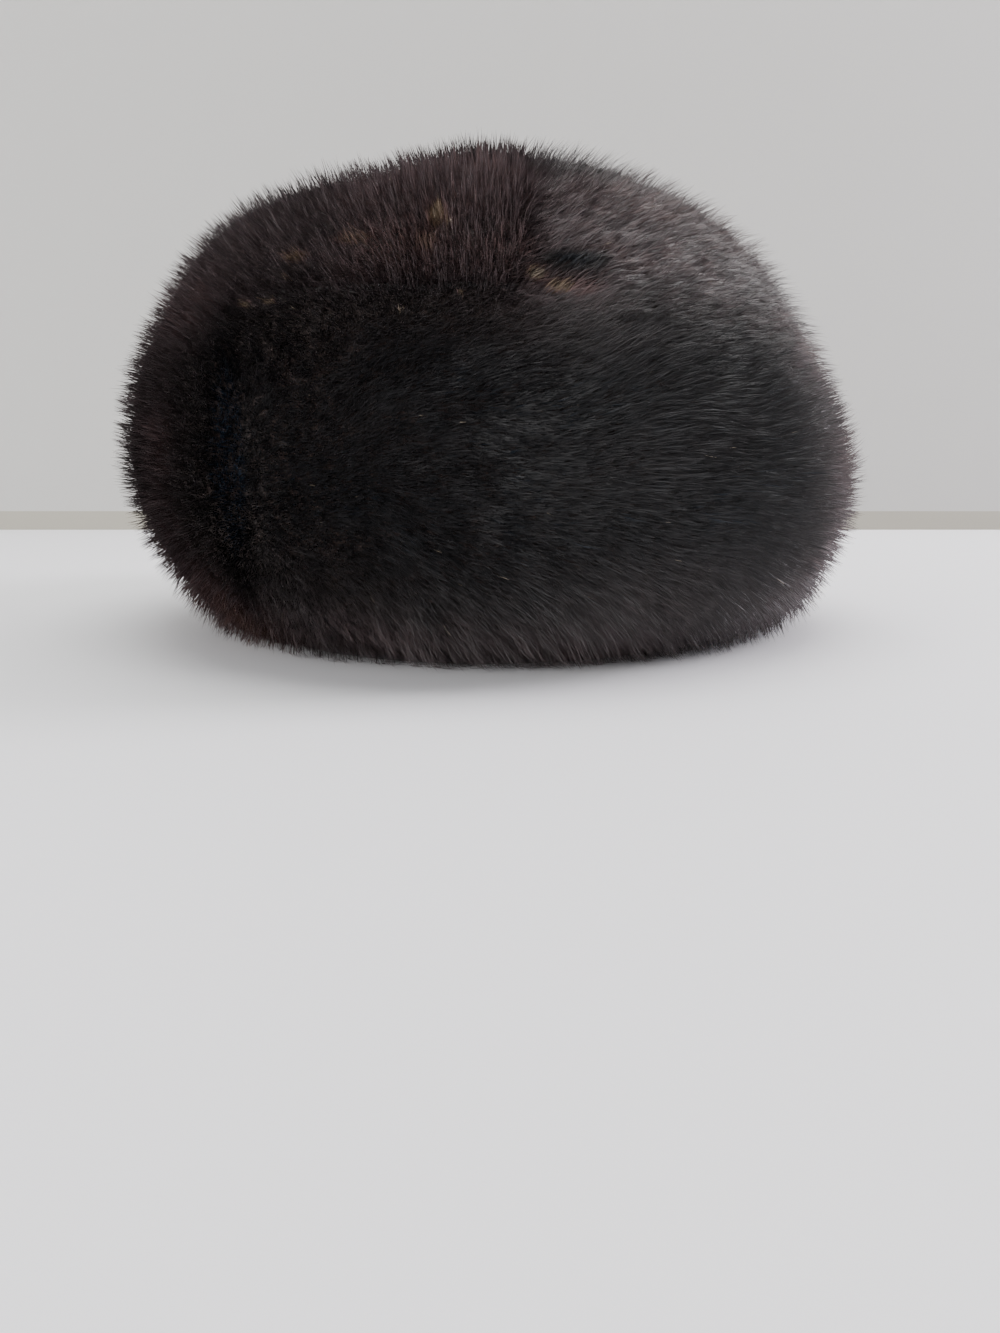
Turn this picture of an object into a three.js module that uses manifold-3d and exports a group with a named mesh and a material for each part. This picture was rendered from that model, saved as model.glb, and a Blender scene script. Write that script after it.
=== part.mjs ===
// A rounded, brimless fur hat: a shell of thick pelt, hollow for the head, covered all over in locks of fur.
// Millimetres, +Z up. The rim stands on z = 0, the front faces -Y, and the origin is the middle of the rim.

import * as THREE from 'three';
import Module from 'manifold-3d';

const wasm = await Module();
wasm.setup();

// Pelt and pile
const PELT_THICKNESS = 15; // hide and dense underfur together
const LOCK_RISE = 6; // from a lock's foot to its tip, at its tallest
const LOCK_LEAST = 0.55; // the shortest lock, as a share of the tallest
const LOCK_LEAN = 1.05; // how far a tip is carried along the lay, for each millimetre of rise
const LOCK_FOOT = 2.5; // how far a lock's foot lies below the outline
const FOOT_FADE_ROWS = 1.2; // at the rim the feet come out to the outline within this many rows
const TIP_CLEARANCE = 0.5; // the lowest that a lock's tip comes to the surface the hat stands on

// Seams. Near one the pile sinks and its locks are shorter.
const SEAM_GAP = 0.5;
const RING_SEAM = { reach: 8, dip: 1.5, shortening: 0.85 }; // between the crown and the side band
const CROSS_SEAM = { reach: 6, dip: 1.5, shortening: 0.5 }; // between two panels of the crown
const CROWN_SEAM_ROW = 7.1; // row of the outline where crown and side band meet
const CROWN_SEAM_TILT = 0.2; // the seam runs higher at the front and lower at the back, in rows
const LEFT_SEAM_X = { front: -18, back: -15 };
const RIGHT_SEAM_X = { front: 12, back: 15 };

// Head opening and rim
const OPENING_HALF_WIDTH = 78;
const OPENING_HALF_LENGTH = 95;
const RIM_THICKNESS = 14;
const RIM_ROUNDING = 3.5;

// Lock grids. The crown's cells and the band's columns share every third and second bearing with the hide.
const CROWN_CELLS = 36;
const BAND_COLUMNS = 96;
const BAND_ROWS = 16;
const HIDE_COLUMNS = 48;
const HIDE_CELLS = 12;
const HIDE_ROWS = [6, 4.8, 3.6, 2.4, 1.2, 0.35];
const FIRST_BEARING = -0.75 * Math.PI;

// The outline of the solid fur, from the outer edge of the rim up to the top of the crown.
// Each pair is the distance from the axis and the height, at the hat's left, right, front and back.
const OUTLINE_SIDES = ['left', 'right', 'front', 'back'];
const OUTLINE = [
  //           left          right         front         back
  /* rim    */ [[98, 0], [100, 0], [107, 0], [111, 0]],
  /* under  */ [[109, 12], [116.5, 9], [120, 10], [124, 11]],
  /* low    */ [[119, 27], [123.5, 22], [130, 24], [133, 25]],
  /* lower  */ [[125.5, 42], [128.5, 37], [135.5, 40], [137.5, 41]],
  /* widest */ [[128.5, 58], [130, 52], [137, 56], [139.5, 57]],
  /* upper  */ [[127, 74], [126.5, 66], [136, 73], [138.5, 73]],
  /* high   */ [[123.5, 88], [119.5, 82], [132, 88], [135, 89]],
  /* seam   */ [[116.5, 104], [113, 97.5], [124, 103], [128.5, 104]],
  /* turn   */ [[108, 119], [105, 111.5], [112, 117], [118, 119]],
  /* brow   */ [[97.5, 131.5], [95, 124.5], [98, 130], [105, 133]],
  /* corner */ [[83.5, 140.5], [81, 137], [81, 140.5], [90, 144]],
  /* slope  */ [[63, 142.5], [62, 148.5], [61, 148.5], [70, 152]],
  /* dome   */ [[43, 150], [42.5, 156.5], [41, 156], [48, 157.5]],
  /* dome   */ [[22, 158], [22, 161], [20, 160.5], [24, 161]],
  /* top    */ [[0, 162], [0, 162], [0, 162], [0, 162]],
];
const TOP_ROW = OUTLINE.length - 1;
const ROW_LENGTH = 16; // the usual length of pile from one row to the next

// Hollows pressed into the front of the pile, and how far each reaches along x and z.
const HOLLOWS = [
  { x: 24, z: 108, depth: 5, reachX: 11, reachZ: 6 },
  { x: -17, z: 122, depth: 3, reachX: 6, reachZ: 14 },
  { x: -71, z: 58, depth: 2, reachX: 7, reachZ: 38 },
];

const FUR_COLOURS = {
  crown_panel_left: 0x352524,
  crown_panel_centre: 0x2f2221,
  crown_panel_right: 0x3a3134,
  side_band: 0x1c1a1b,
};

// A smooth curve through one column of the outline. Past the top the radius goes on with its sign turned.
function columnCurve(side, part) {
  const column = OUTLINE_SIDES.indexOf(side);
  const values = OUTLINE.map((row) => row[column][part]);
  const mirror = part === 0 ? -1 : 1;
  const before = 2 * values[0] - values[1];
  const after = mirror * values[TOP_ROW - 1];
  const at = (index) => (index < 0 ? before : index > TOP_ROW ? after : values[index]);
  return (row) => {
    const index = Math.min(Math.floor(row), TOP_ROW - 1);
    const t = row - index;
    const [p0, p1, p2, p3] = [at(index - 1), at(index), at(index + 1), at(index + 2)];
    const cubic = 3 * (p1 - p2) + p3 - p0;
    const square = 2 * p0 - 5 * p1 + 4 * p2 - p3;
    return p1 + 0.5 * t * (p2 - p0 + t * (square + t * cubic));
  };
}

const curves = Object.fromEntries(
  OUTLINE_SIDES.map((side) => [side, { radius: columnCurve(side, 0), height: columnCurve(side, 1) }]),
);

// The outline's point at a bearing, counted anticlockwise from +X, and a row of the table.
function outlinePoint(bearing, row) {
  const across = Math.cos(bearing);
  const along = Math.sin(bearing);
  const side = across < 0 ? curves.left : curves.right;
  const end = along < 0 ? curves.front : curves.back;
  const height = across ** 2 * side.height(row) + along ** 2 * end.height(row);
  return new THREE.Vector3(across * side.radius(row), along * end.radius(row), height);
}

const NUDGE = 0.01;

// The outline's point with its outward normal and the direction round the hat.
function outlineFrame(bearing, row) {
  const low = Math.max(row - NUDGE, 0);
  const high = Math.min(row + NUDGE, TOP_ROW - NUDGE / 2);
  const nearRow = Math.min(row, TOP_ROW - NUDGE);
  const round = outlinePoint(bearing + NUDGE, nearRow).sub(outlinePoint(bearing - NUDGE, nearRow)).normalize();
  const up = outlinePoint(bearing, high).sub(outlinePoint(bearing, low)).normalize();
  const normal = new THREE.Vector3().crossVectors(round, up).normalize();
  return { point: outlinePoint(bearing, row), normal, round };
}

function crownSeamRow(bearing) {
  return CROWN_SEAM_ROW - CROWN_SEAM_TILT * Math.sin(bearing);
}

const CROWN_FRONT = curves.front.radius(CROWN_SEAM_ROW);
const CROWN_BACK = curves.back.radius(CROWN_SEAM_ROW);

// Where a seam that crosses the crown lies at a given y.
function seamX(seam, y) {
  return THREE.MathUtils.mapLinear(y, -CROWN_FRONT, CROWN_BACK, seam.front, seam.back);
}

// How far the pile sinks at a point because of the seams near it, and how much of a lock is left there.
function seamEffect(point, bearing, row) {
  const toRing = Math.abs(row - crownSeamRow(bearing)) * ROW_LENGTH;
  const crossings = [LEFT_SEAM_X, RIGHT_SEAM_X].map((seam) => Math.abs(point.x - seamX(seam, point.y)));
  const toCross = Math.min(...crossings);
  const ring = 1 - THREE.MathUtils.smoothstep(toRing, 0, RING_SEAM.reach);
  const onCrown = row > crownSeamRow(bearing) ? 1 : 0;
  const cross = onCrown * (1 - THREE.MathUtils.smoothstep(toCross, 0, CROSS_SEAM.reach));
  return {
    dip: RING_SEAM.dip * ring + CROSS_SEAM.dip * cross * (1 - ring),
    left: (1 - RING_SEAM.shortening * ring) * (1 - CROSS_SEAM.shortening * cross),
  };
}

function hollowDepth(point) {
  if (point.y > 0) {
    return 0;
  }
  const depths = HOLLOWS.map(
    (h) => h.depth * Math.exp(-(((point.x - h.x) / h.reachX) ** 2) - ((point.z - h.z) / h.reachZ) ** 2),
  );
  return depths.reduce((sum, depth) => sum + depth, 0);
}

// The way that the fur lies: round the head on the side band, to the front on the left and middle of the
// crown, and to the right on its right.
function layDirection(frame, bearing, row) {
  if (row <= crownSeamRow(bearing)) {
    return frame.round.clone();
  }
  const { point, normal } = frame;
  const onRight = point.x > seamX(RIGHT_SEAM_X, point.y);
  const onLeft = point.x < seamX(LEFT_SEAM_X, point.y);
  const lay = onRight ? new THREE.Vector3(1, -0.2, 0) : new THREE.Vector3(onLeft ? -0.55 : 0, -1, 0);
  return lay.projectOnPlane(normal).normalize();
}

// A repeatable number from 0 to 1 for each crossing of a grid.
function scatter(i, j) {
  const wave = Math.sin(i * 12.9898 + j * 78.233) * 43758.5453;
  return wave - Math.floor(wave);
}

// A point of the pile: every second crossing of the grid is a lock's tip, and the others are its feet.
function pilePoint(bearing, row, i, j, onEdge) {
  const frame = outlineFrame(bearing, row);
  const seam = seamEffect(frame.point, bearing, row);
  const footFade = THREE.MathUtils.smoothstep(row, 0, FOOT_FADE_ROWS);
  const depth = footFade * (LOCK_FOOT + seam.dip + hollowDepth(frame.point));
  const pile = frame.point.clone().addScaledVector(frame.normal, -depth);
  const isTip = (i + j) % 2 === 1 && !onEdge;
  if (isTip) {
    const share = THREE.MathUtils.lerp(LOCK_LEAST, 1, scatter(i, j));
    const rise = LOCK_RISE * share * seam.left;
    pile.addScaledVector(frame.normal, rise);
    pile.addScaledVector(layDirection(frame, bearing, row), rise * LOCK_LEAN);
    pile.z = Math.max(pile.z, TIP_CLEARANCE);
  }
  return pile;
}

function hidePoint(bearing, row) {
  const frame = outlineFrame(bearing, row);
  return frame.point.addScaledVector(frame.normal, -PELT_THICKNESS);
}

function rimPoint(bearing, inset, height) {
  const halfWidth = OPENING_HALF_WIDTH + inset;
  const halfLength = OPENING_HALF_LENGTH + inset;
  return new THREE.Vector3(halfWidth * Math.cos(bearing), halfLength * Math.sin(bearing), height);
}

// Collects points and triangles, and joins rings of points into walls.
class Shell {
  constructor() {
    this.points = [];
    this.triangles = [];
  }

  add(point) {
    this.points.push(point.x, point.y, point.z);
    return this.points.length / 3 - 1;
  }

  // A ring of points at even bearings.
  ring(count, pointAt) {
    return Array.from({ length: count }, (_, i) => this.add(pointAt(bearingOf(i, count), i)));
  }

  // Two triangles in a cell of four points, split between the feet of its locks.
  cell(a, b, c, d, footFirst) {
    if (footFirst) {
      this.triangles.push(a, b, c, a, c, d);
    } else {
      this.triangles.push(a, b, d, b, c, d);
    }
  }

  // A wall from one ring to the next. The rings start at the same bearing and may differ in count.
  stitch(lower, upper) {
    let i = 0;
    let j = 0;
    while (i < lower.length || j < upper.length) {
      const a = lower[i % lower.length];
      const b = upper[j % upper.length];
      if ((i + 1) / lower.length <= (j + 1) / upper.length) {
        i += 1;
        this.triangles.push(a, lower[i % lower.length], b);
      } else {
        j += 1;
        this.triangles.push(a, upper[j % upper.length], b);
      }
    }
  }

  solid() {
    const vertProperties = new Float32Array(this.points);
    const triVerts = new Uint32Array(this.triangles);
    return new wasm.Manifold(new wasm.Mesh({ numProp: 3, vertProperties, triVerts }));
  }
}

function bearingOf(index, count) {
  return FIRST_BEARING + (2 * Math.PI * index) / count;
}

// The side band: its pile from the rim up to the crown's seam, then down inside and out again under the rim.
function makeBand() {
  const shell = new Shell();
  const topRow = (bearing) => crownSeamRow(bearing) - SEAM_GAP / 2 / ROW_LENGTH;
  const pile = Array.from({ length: BAND_ROWS + 1 }, (_, j) =>
    shell.ring(BAND_COLUMNS, (bearing, i) => {
      const onEdge = j === 0 || j === BAND_ROWS;
      return pilePoint(bearing, (topRow(bearing) * j) / BAND_ROWS, i, j, onEdge);
    }),
  );
  for (let j = 0; j < BAND_ROWS; j += 1) {
    for (let i = 0; i < BAND_COLUMNS; i += 1) {
      const next = (i + 1) % BAND_COLUMNS;
      shell.cell(pile[j][i], pile[j][next], pile[j + 1][next], pile[j + 1][i], (i + j) % 2 === 0);
    }
  }
  const hide = [
    shell.ring(HIDE_COLUMNS, (bearing) => hidePoint(bearing, topRow(bearing))),
    ...HIDE_ROWS.map((row) => shell.ring(HIDE_COLUMNS, (bearing) => hidePoint(bearing, row))),
  ];
  const rim = [
    [RIM_ROUNDING, RIM_THICKNESS],
    [0, RIM_THICKNESS - RIM_ROUNDING],
    [0, RIM_ROUNDING],
    [RIM_ROUNDING, 0],
  ].map(([inset, height]) => shell.ring(HIDE_COLUMNS, (bearing) => rimPoint(bearing, inset, height)));
  const inside = [pile[BAND_ROWS], ...hide, ...rim, pile[0]];
  inside.slice(1).forEach((ring, k) => shell.stitch(inside[k], ring));
  return shell.solid();
}

// One face of the crown: a square grid drawn out to a disc, so that it has no pole.
// A grid line's place is the sine of an even angle, which spaces the disc's edge evenly.
function crownGrid(shell, cells, pointAt) {
  const place = (index) => Math.SQRT2 * Math.sin((Math.PI / 2) * (index / cells - 0.5));
  return Array.from({ length: cells + 1 }, (_, j) =>
    Array.from({ length: cells + 1 }, (_unused, i) => {
      const x = place(i) * Math.sqrt(Math.max(0, 1 - place(j) ** 2 / 2));
      const y = place(j) * Math.sqrt(Math.max(0, 1 - place(i) ** 2 / 2));
      const onEdge = i === 0 || j === 0 || i === cells || j === cells;
      const bearing = Math.atan2(y, x);
      const share = onEdge ? 1 : Math.hypot(x, y);
      const seamRow = crownSeamRow(bearing) + SEAM_GAP / 2 / ROW_LENGTH;
      return shell.add(pointAt(bearing, THREE.MathUtils.lerp(TOP_ROW, seamRow, share), i, j, onEdge));
    }),
  );
}

// The edge of a grid as a ring, anticlockwise from its first corner.
function gridEdge(grid) {
  const last = grid.length - 1;
  const steps = Array.from({ length: last }, (_, k) => k);
  return [
    ...steps.map((k) => grid[0][k]),
    ...steps.map((k) => grid[k][last]),
    ...steps.map((k) => grid[last][last - k]),
    ...steps.map((k) => grid[last - k][0]),
  ];
}

function makeCrown() {
  const shell = new Shell();
  const pile = crownGrid(shell, CROWN_CELLS, pilePoint);
  const hide = crownGrid(shell, HIDE_CELLS, hidePoint);
  for (let j = 0; j < CROWN_CELLS; j += 1) {
    for (let i = 0; i < CROWN_CELLS; i += 1) {
      shell.cell(pile[j][i], pile[j][i + 1], pile[j + 1][i + 1], pile[j + 1][i], (i + j) % 2 === 0);
    }
  }
  for (let j = 0; j < HIDE_CELLS; j += 1) {
    for (let i = 0; i < HIDE_CELLS; i += 1) {
      const towardsCorner = (i < HIDE_CELLS / 2) === (j < HIDE_CELLS / 2);
      shell.cell(hide[j][i], hide[j + 1][i], hide[j + 1][i + 1], hide[j][i + 1], towardsCorner);
    }
  }
  shell.stitch(gridEdge(hide), gridEdge(pile));
  return shell.solid();
}

// An upright block over the part of the crown between two seams, half a gap short of each.
function crownRegion(leftSeam, rightSeam) {
  const reach = 2 * OPENING_HALF_LENGTH;
  const left = (y) => (leftSeam ? seamX(leftSeam, y) + SEAM_GAP / 2 : -reach);
  const right = (y) => (rightSeam ? seamX(rightSeam, y) - SEAM_GAP / 2 : reach);
  const outline = new THREE.Shape([
    new THREE.Vector2(left(-reach), -reach),
    new THREE.Vector2(right(-reach), -reach),
    new THREE.Vector2(right(reach), reach),
    new THREE.Vector2(left(reach), reach),
  ]);
  const block = new THREE.ExtrudeGeometry(outline, { depth: reach, bevelEnabled: false });
  const shell = new Shell();
  const position = block.attributes.position;
  const seen = new Map();
  for (let k = 0; k < position.count; k += 1) {
    const point = new THREE.Vector3().fromBufferAttribute(position, k);
    const key = point.toArray().join();
    if (!seen.has(key)) {
      seen.set(key, shell.add(point));
    }
    shell.triangles.push(seen.get(key));
  }
  return shell.solid();
}

function furMesh(name, solid) {
  const { vertProperties, triVerts } = solid.getMesh();
  const geometry = new THREE.BufferGeometry();
  geometry.setAttribute('position', new THREE.BufferAttribute(vertProperties, 3));
  geometry.setIndex(new THREE.BufferAttribute(triVerts, 1));
  geometry.computeVertexNormals();
  const material = new THREE.MeshStandardMaterial({
    color: FUR_COLOURS[name],
    roughness: 0.8,
    metalness: 0,
    flatShading: true,
  });
  const mesh = new THREE.Mesh(geometry, material);
  mesh.name = name;
  return mesh;
}

const crown = makeCrown();
const hat = new THREE.Group();
hat.add(
  furMesh('crown_panel_left', crown.intersect(crownRegion(null, LEFT_SEAM_X))),
  furMesh('crown_panel_centre', crown.intersect(crownRegion(LEFT_SEAM_X, RIGHT_SEAM_X))),
  furMesh('crown_panel_right', crown.intersect(crownRegion(RIGHT_SEAM_X, null))),
  furMesh('side_band', makeBand()),
);

export default hat;
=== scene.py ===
# A brown mink hat: pelts of thin hide and dense underfur, sewn together, under a coat of guard hairs.
# Lengths are millimetres until a mesh is made. The front faces -Y, and bearings run anticlockwise from +X.
import math

import bpy
import numpy as np
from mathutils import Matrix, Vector


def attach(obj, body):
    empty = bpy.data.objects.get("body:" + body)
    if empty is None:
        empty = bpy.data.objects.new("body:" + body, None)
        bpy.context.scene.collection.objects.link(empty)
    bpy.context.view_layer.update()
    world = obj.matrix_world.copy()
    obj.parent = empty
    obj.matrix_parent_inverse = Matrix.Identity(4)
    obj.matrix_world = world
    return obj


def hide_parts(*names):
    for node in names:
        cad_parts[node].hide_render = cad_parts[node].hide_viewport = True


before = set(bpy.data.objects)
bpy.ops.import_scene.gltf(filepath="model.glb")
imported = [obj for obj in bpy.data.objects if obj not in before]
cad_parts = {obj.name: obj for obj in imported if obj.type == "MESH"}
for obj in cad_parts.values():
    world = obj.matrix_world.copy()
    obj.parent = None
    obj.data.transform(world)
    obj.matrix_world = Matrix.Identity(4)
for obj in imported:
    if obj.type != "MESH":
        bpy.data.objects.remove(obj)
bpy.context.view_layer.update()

MM = 0.001

# The outline of the solid fur, from the outer edge of the rim up to the top of the crown.
# Each pair is the distance from the axis and the height, at the hat's left, right, front and back.
LEFT, RIGHT, FRONT, BACK = range(4)
RADIUS, HEIGHT = range(2)
OUTLINE = np.array([
    # left         right        front        back
    [[98, 0], [100, 0], [107, 0], [111, 0]],  # rim
    [[109, 12], [116.5, 9], [120, 10], [124, 11]],  # under
    [[119, 27], [123.5, 22], [130, 24], [133, 25]],  # low
    [[125.5, 42], [128.5, 37], [135.5, 40], [137.5, 41]],  # lower
    [[128.5, 58], [130, 52], [137, 56], [139.5, 57]],  # widest
    [[127, 74], [126.5, 66], [136, 73], [138.5, 73]],  # upper
    [[123.5, 88], [119.5, 82], [132, 88], [135, 89]],  # high
    [[116.5, 104], [113, 97.5], [124, 103], [128.5, 104]],  # seam
    [[108, 119], [105, 111.5], [112, 117], [118, 119]],  # turn
    [[97.5, 131.5], [95, 124.5], [98, 130], [105, 133]],  # brow
    [[83.5, 140.5], [81, 137], [81, 140.5], [90, 144]],  # corner
    [[63, 142.5], [62, 148.5], [61, 148.5], [70, 152]],  # slope
    [[43, 150], [42.5, 156.5], [41, 156], [48, 157.5]],  # dome
    [[22, 158], [22, 161], [20, 160.5], [24, 161]],  # dome
    [[0, 162], [0, 162], [0, 162], [0, 162]],  # top
])
TOP_ROW = len(OUTLINE) - 1
ROW_LENGTH = 16  # the usual length of pile from one row to the next

# Seams. Near one the pile sinks and its hairs are shorter.
SEAM_GAP = 0.5
RING_SEAM = {"reach": 8, "dip": 1.5}  # between the crown and the side band
CROSS_SEAM = {"reach": 6, "dip": 1.5}  # between two panels of the crown
CROWN_SEAM_ROW = 7.1
CROWN_SEAM_TILT = 0.2  # the seam runs higher at the front and lower at the back, in rows
LEFT_SEAM_X = {"front": -18, "back": -15}
RIGHT_SEAM_X = {"front": 12, "back": 15}

# Hollows pressed into the front of the pile: place, depth and reach along x and z.
HOLLOWS = [
    {"x": 24, "z": 108, "depth": 5, "reach_x": 11, "reach_z": 6},
    {"x": -17, "z": 122, "depth": 3, "reach_x": 6, "reach_z": 14},
    {"x": -71, "z": 58, "depth": 2, "reach_x": 7, "reach_z": 38},
]

# Small marks on the front: place, reach along x and z, and the tone of the hairs in the middle of the mark.
MARKS = [
    {"x": -71, "z": 58, "reach_x": 7.5, "reach_z": 38, "tone": 0.0},  # blue-black stripe
    {"x": -13.5, "z": 125, "reach_x": 3, "reach_z": 5.5, "tone": 0.84},  # tan underfur along the left seam
    {"x": -13.5, "z": 126.5, "reach_x": 1.8, "reach_z": 3.2, "tone": 0.91},
    {"x": -16, "z": 117, "reach_x": 3.4, "reach_z": 3.4, "tone": 0.8},
    {"x": -9.5, "z": 122.5, "reach_x": 0.8, "reach_z": 0.9, "tone": 0.98},
    {"x": 25, "z": 111.5, "reach_x": 9, "reach_z": 2.4, "tone": 0.06},  # painted shade in the gap under the right panel
    {"x": 25, "z": 104, "reach_x": 8, "reach_z": 3, "tone": 0.72},  # reddish fur below the gap
    {"x": 20, "z": 104, "reach_x": 4, "reach_z": 2.2, "tone": 0.9},  # tan underfur in it
    {"x": 14, "z": 107, "reach_x": 2.8, "reach_z": 2.2, "tone": 0.95},  # pale tuft beside that
    {"x": -67, "z": 101, "reach_x": 2.4, "reach_z": 1.2, "tone": 0.92},  # tan specks in a bow on the left
    {"x": -59, "z": 101, "reach_x": 2.4, "reach_z": 1.2, "tone": 0.92},
    {"x": -55, "z": 108, "reach_x": 0.7, "reach_z": 0.7, "tone": 0.95},
    {"x": -53, "z": 114, "reach_x": 5, "reach_z": 2, "tone": 0.86},
    {"x": -36, "z": 118, "reach_x": 6, "reach_z": 2, "tone": 0.82},
    {"x": -21, "z": 97, "reach_x": 1.4, "reach_z": 0.8, "tone": 0.95},
    {"x": -6, "z": 101, "reach_x": 1.4, "reach_z": 0.8, "tone": 0.9},
]

# Layers of the pelt, as depths below the outline
UNDERFUR_DEPTH = 3
HIDE_DEPTH = 13.5
PELT_THICKNESS = 15

# The rim, turned under: its profile is how far each ring lies outside the opening, and its height.
OPENING_HALF_WIDTH = 78
OPENING_HALF_LENGTH = 95
RIM_THICKNESS = 14
RIM_ROUNDING = 3.5
RIM_PROFILE = [
    (RIM_ROUNDING + 1.5, RIM_THICKNESS), (1.5, RIM_THICKNESS - 2), (0, RIM_THICKNESS - RIM_ROUNDING),
    (0, RIM_ROUNDING), (1, 1), (RIM_ROUNDING, 0), (9, 0),
]

# Guard hairs. They grow in small tufts, whose tips draw together.
BODY_TUFTS, BODY_HAIRS = 152000, 5
LONG_TUFTS, LONG_HAIRS = 30000, 3
BODY_WIDTH = 0.42  # at the root; real guard hair is about 0.12 wide, and is drawn coarser so that it shows
LONG_WIDTH = 0.2  # at the middle
ROOT_DEPTH = 3.6
ROOT_SPREAD = {"body": 0.6, "long": 0.7}  # of a tuft's roots, along and across the lay
TIP_SPREAD = 0.3
LOOSE_SPREAD = 0.3  # more, where the locks hardly show
GATHERING = 0.7  # how much of the roots' spread the tips make up for in a lock
LEAST_RISE = 0.8  # of a hair above its root
MIDDLE = {"rise": 0.6, "run": 0.42, "drift": 0.35}  # how far a hair has come at its middle, as shares
SEEN_AT = 2 / 3  # of the way from its middle to its tip, a hair is taken to be seen
BLADE_ROLL = 0.6  # how far a hair's flat side may turn, in radians
COAT_SINK = 0.3  # the coat closes over most of a seam's depth
FLOOR_CLEARANCE = 0.3

# How high the tips reach above the outline
BODY_LEVEL = -0.9
BODY_UNEVEN = 1.1  # from tuft to tuft
LONG_LEVEL, LONG_REACH = 0.4, 6.2
FOOT_REACH = 1.5  # more, for the long hairs at the foot
LONG_STEEPER = 18  # degrees that the long hairs stand steeper than the body's

# Locks: longer bundles of tufts that lie side by side, each domed across its width.
LOCK_LENGTH, LOCK_WIDTH = 5.0, 1.7
LOCK_STRAY = 0.9  # how far a lock's middle strays in its cell of the grid
LOCK_DOME = 1.0  # how far the shading normal turns at a lock's edges
LOCK_PULL = 0.9  # how far the tips draw in to the lock's middle, in widths
LONG_PULL = 0.4  # the share of that for the long hairs
LOCK_LEVEL = 0.55
LOCK_TONE = 0.2
LOCK_TURN = 0.35  # radians
LOCK_FAINT = 0.25  # the strength of the locks away from the crown's right
MEAN_RADIUS = 120  # turns bearings into lengths round the band

# Regions of the coat
REGIONS = ["crown_panel_left", "crown_panel_centre", "crown_panel_right", "side_band"]
CROWN_LEFT, CROWN_CENTRE, CROWN_RIGHT, BAND = range(4)
SLOTS = ["crown_left_fur", "crown_centre_fur", "crown_right_fur", "band_fur"]
CROWN_ZONE = {"front": (-2.2, 0.7), "back": (-3.0, 3.5)}  # where it fades in, in rows from the ring seam

# Tones, from black at 0 through brown to tan at 1. The band's foot, sides and back are lighter as painted
# light: painted bounce light from the floor at the foot, a painted sheen on the right side, and painted
# light on the left side and behind.
TONE = {
    "crown": 0.54, "centre": 0.67, "right": 0.61, "band": 0.18, "foot": 0.57,
    "right_side_painted_sheen": 0.46, "left_side_painted_light": 0.38, "rear": 0.24,  # added to the band's, as painted light: a painted sheen on the right side, painted light on the left side and behind
}
TOP_TONE = -0.18  # the crown is darker near the top,
CROWN_FOOT_TONE = 0.08  # its left is lighter near the ring seam,
RIGHT_REAR_TONE = -0.08  # its right darker behind,
# The band's foot is lighter on the left, with more painted bounce light from the floor.
LEFT_FOOT_PAINTED_BOUNCE = 0.18  # and the band's foot lighter on the left
HAIR_TONE = 0.03  # how far single hairs stray from their tuft's tone
PALE_AND_GLINT_SHARE, PALE_AND_GLINT_TONE = 0.0004, 0.97  # a very few hairs are pale: partly the real pale guard hairs of mink, partly painted glints
MARK_EDGE = (0.15, 0.75)  # the heights of a mark's bell curve between which its tone fades in

# How the hairs lie, in degrees
LEAN = {"crown": 60, "top": 40, "right": 46, "band": 38, "left": 40}  # between a hair and the skin
BAND_TOP_PITCH, LEFT_PITCH = 9, 16  # upwards at the band's top, and on its left
FOOT_PITCH, RIGHT_FOOT_PITCH = 40, 12  # downwards at the band's foot, and more on its right
RIGHT_HEADING, REAR_HEADING = -11, 107  # from +X, on the crown's right panel and along its rear edge
LEFT_SWEEP = -0.55  # the step along x for each to the front, on the crown's left

rng = np.random.default_rng(20)


def column_curve(column, part, rows):
    """A Catmull-Rom curve through one column: at each row its slope is half the step between that row's
    neighbours. Past the top the radius goes on with its sign turned."""
    values = OUTLINE[:, column, part]
    after = values[-2] if part == HEIGHT else -values[-2]
    padded = np.concatenate([[2 * values[0] - values[1]], values, [after]])
    index = np.clip(np.floor(rows).astype(int), 0, TOP_ROW - 1)
    t = rows - index
    p0, p1, p2, p3 = (padded[index + k] for k in range(4))
    square = 2 * p0 - 5 * p1 + 4 * p2 - p3
    cubic = 3 * (p1 - p2) + p3 - p0
    return p1 + 0.5 * t * (p2 - p0 + t * (square + t * cubic))


def towards(bearing, rows, part):
    """The outline's radius or height towards the side and towards the end that a bearing faces."""
    left, right, front, back = (column_curve(column, part, rows) for column in (LEFT, RIGHT, FRONT, BACK))
    return np.where(np.cos(bearing) < 0, left, right), np.where(np.sin(bearing) < 0, front, back)


def outline_point(bearing, rows):
    """x is the side's radius times the bearing's cosine, y the end's radius times its sine, and z the two
    heights weighed by the squares of the cosine and the sine."""
    bearing, rows = np.broadcast_arrays(np.asarray(bearing, float), np.asarray(rows, float))
    across, along = np.cos(bearing), np.sin(bearing)
    side, end = towards(bearing, rows, RADIUS)
    side_height, end_height = towards(bearing, rows, HEIGHT)
    return np.stack([across * side, along * end, across**2 * side_height + along**2 * end_height], -1)


def unit(vectors):
    return vectors / np.linalg.norm(vectors, axis=-1, keepdims=True)


def outline_frame(bearing, rows, step=0.01):
    """The outline's point, outward normal, way round and way up, from small steps to each side of it."""
    near = np.minimum(rows, TOP_ROW - 2 * step)
    round_way = unit(outline_point(bearing + step, near) - outline_point(bearing - step, near))
    up_way = unit(outline_point(bearing, near + step) - outline_point(bearing, near - step))
    normal = unit(np.cross(round_way, up_way))
    return outline_point(bearing, rows), normal, round_way, np.cross(normal, round_way)


def smooth(values, low, high):
    """0 up to low, 1 from high, and a smooth S between them."""
    share = np.clip((values - low) / (high - low), 0, 1)
    return share * share * (3 - 2 * share)


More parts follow.
